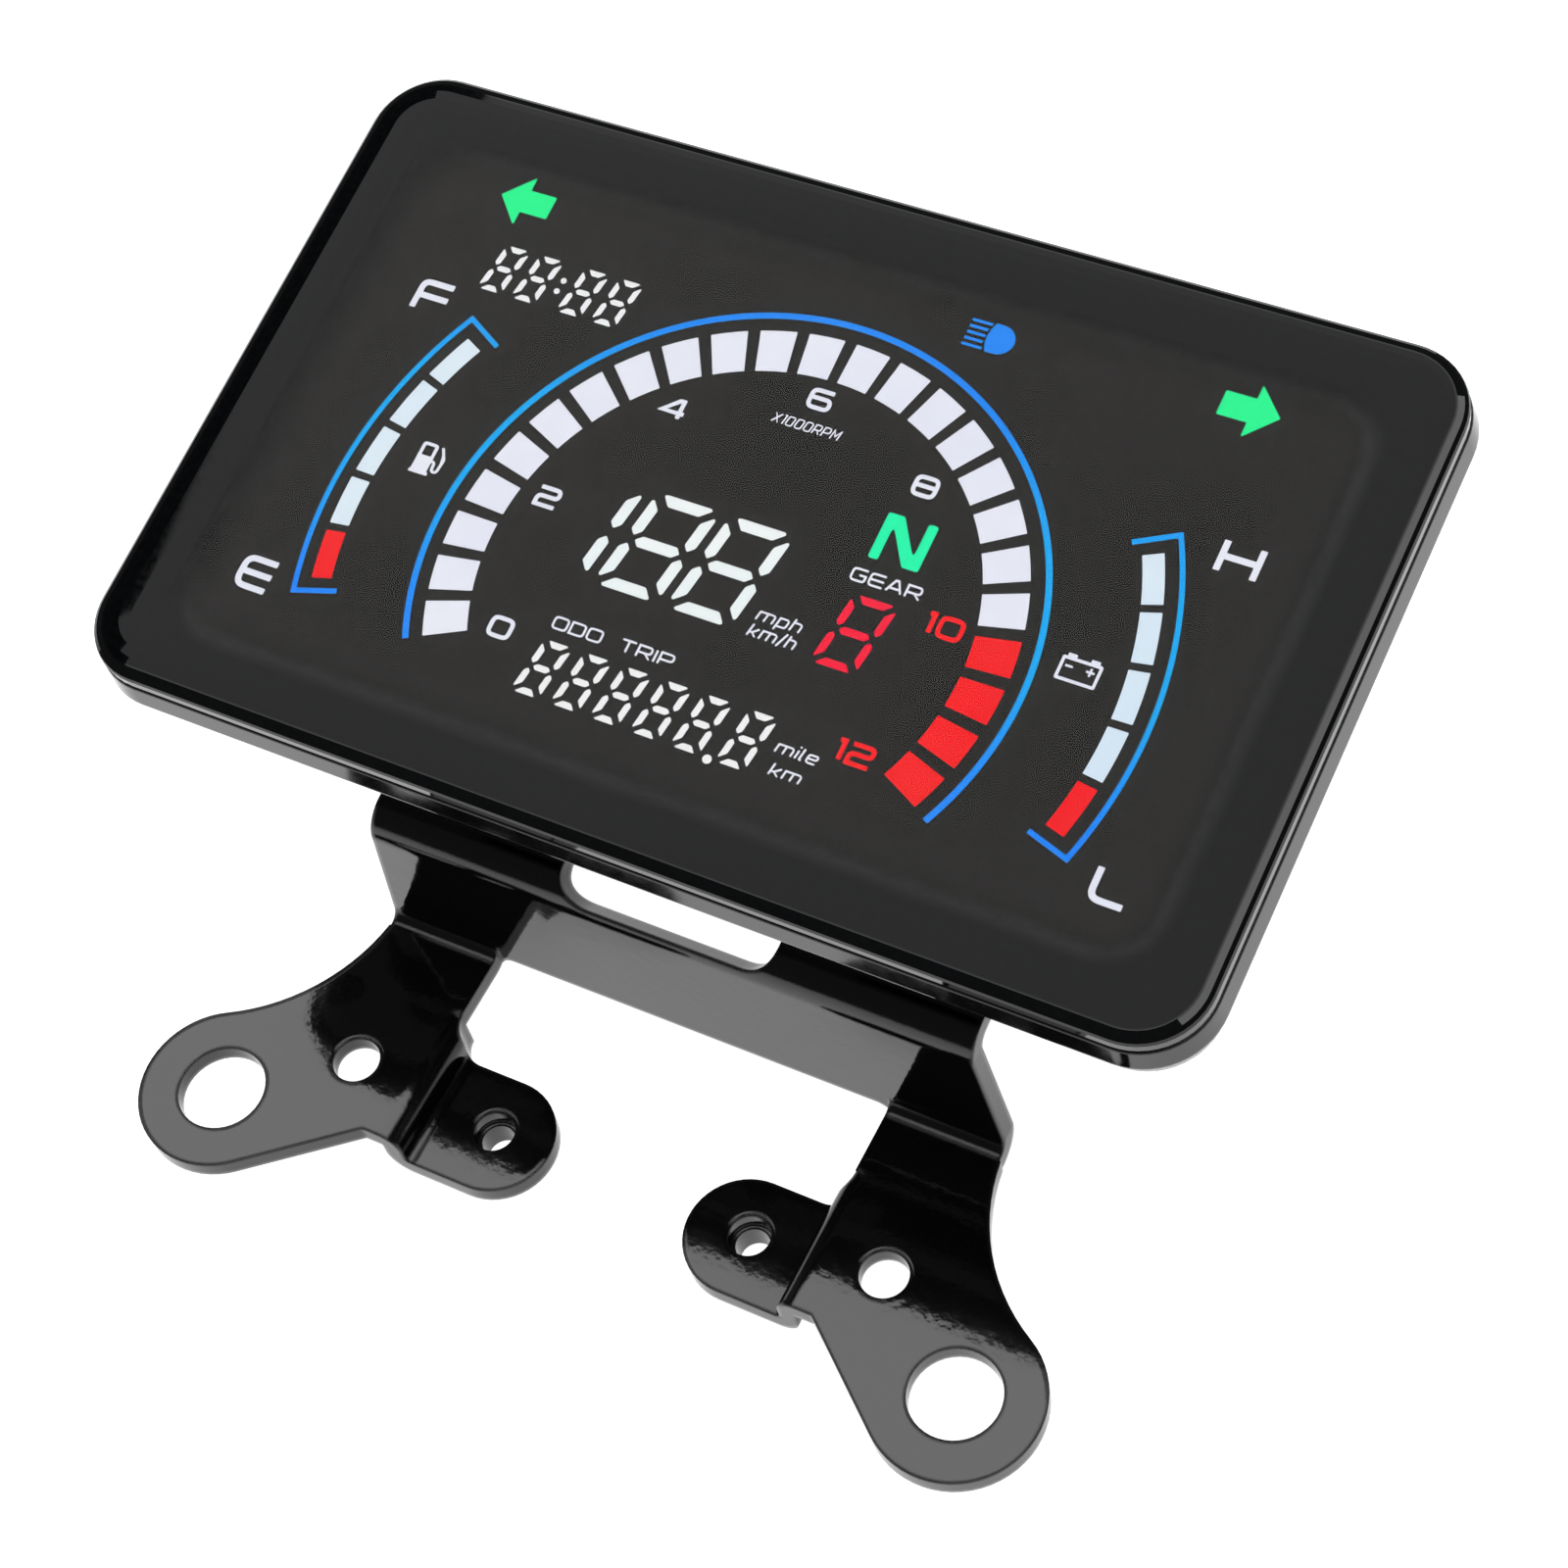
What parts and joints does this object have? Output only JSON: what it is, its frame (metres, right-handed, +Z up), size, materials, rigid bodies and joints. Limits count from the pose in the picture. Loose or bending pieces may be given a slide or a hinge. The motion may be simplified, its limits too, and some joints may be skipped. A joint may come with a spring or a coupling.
{
  "type": "motorcycle instrument cluster",
  "caption": "Flat rectangular display cluster with a smoked lens, on a bent steel bracket with two legs that bolts to the top fork clamp.",
  "frame": {"origin": "midway between the two large bracket holes, on the legs' underside", "axes": "+Z up out of the legs, +X to the rider's right, +Y away from the rider; the display faces up and back, towards -Y"},
  "size_m": [0.1666, 0.1424, 0.0882],
  "materials": {
    "lens_plastic": "smoked hard-coated window, mirror gloss",
    "foam_tape": "closed-cell foam tape",
    "clear_adhesive": "clear bonding film",
    "lcd_glass": "negative segment display",
    "black_case": "piano-black gloss",
    "diffuser": "translucent white film",
    "white_frame": "white reflector plastic",
    "led_package": "white LED packages with phosphor",
    "zebra_rubber": "layered conductive elastomer",
    "solder_mask": "green solder mask on glass laminate",
    "chip_black": "moulded chip package",
    "driver_black": "moulded chip package",
    "ferrite_grey": "moulded inductor and regulator",
    "capacitor_can": "aluminium cans",
    "header_nylon": "natural nylon",
    "switch_black": "moulded switch",
    "zinc_screw": "zinc plated",
    "seal_silicone": "silicone cord",
    "black_cover": "fine spark-eroded black",
    "black_screw": "black zinc plated",
    "brass_insert": "knurled brass",
    "gland_rubber": "matt rubber",
    "vent_plastic": "matt plug",
    "key_plastic": "satin key",
    "key_rubber": "silicone collar",
    "powder_black": "high-gloss black powder coat with slight orange peel",
    "damper_rubber": "matt rubber",
    "collar_steel": "zinc plated",
    "washer_steel": "zinc plated",
    "bolt_black": "black oxide",
    "nut_steel": "coated with the bracket"
  },
  "bodies": {
    "root": {"front_lens": "lens_plastic", "lens_tape": "foam_tape", "optical_adhesive": "clear_adhesive", "lcd_panel": "lcd_glass", "front_case": "black_case", "diffuser_film": "diffuser", "backlight_frame": "white_frame", "backlight_leds": "led_package", "zebra_connectors": "zebra_rubber", "main_pcb": "solder_mask", "microcontroller": "chip_black", "lcd_drivers": "driver_black", "power_module": "ferrite_grey", "filter_capacitors": "capacitor_can", "harness_header": "header_nylon", "tact_switches": "switch_black", "pcb_screws": "zinc_screw", "case_seal": "seal_silicone", "rear_cover": "black_cover", "cover_screws": "black_screw", "threaded_inserts": "brass_insert", "cable_gland": "gland_rubber", "vent_plug": "vent_plastic", "key_seals": "key_rubber", "bracket": "powder_black", "rubber_grommets": "damper_rubber", "steel_collars": "collar_steel", "bracket_washers": "washer_steel", "bracket_screws": "bolt_black", "weld_nuts": "nut_steel"},
    "mode_key": {"mode_key": "key_plastic"},
    "set_key": {"set_key": "key_plastic"}
  },
  "joints": [
    {"name": "mode_press", "type": "slide", "parent": "root", "child": "mode_key", "axis": [0, -0.165, 0.9863], "range_m": [0, 0.001], "stiffness_N_per_m": 1500},
    {"name": "set_press", "type": "slide", "parent": "root", "child": "set_key", "axis": [0, -0.165, 0.9863], "range_m": [0, 0.001], "stiffness_N_per_m": 1500}
  ]
}
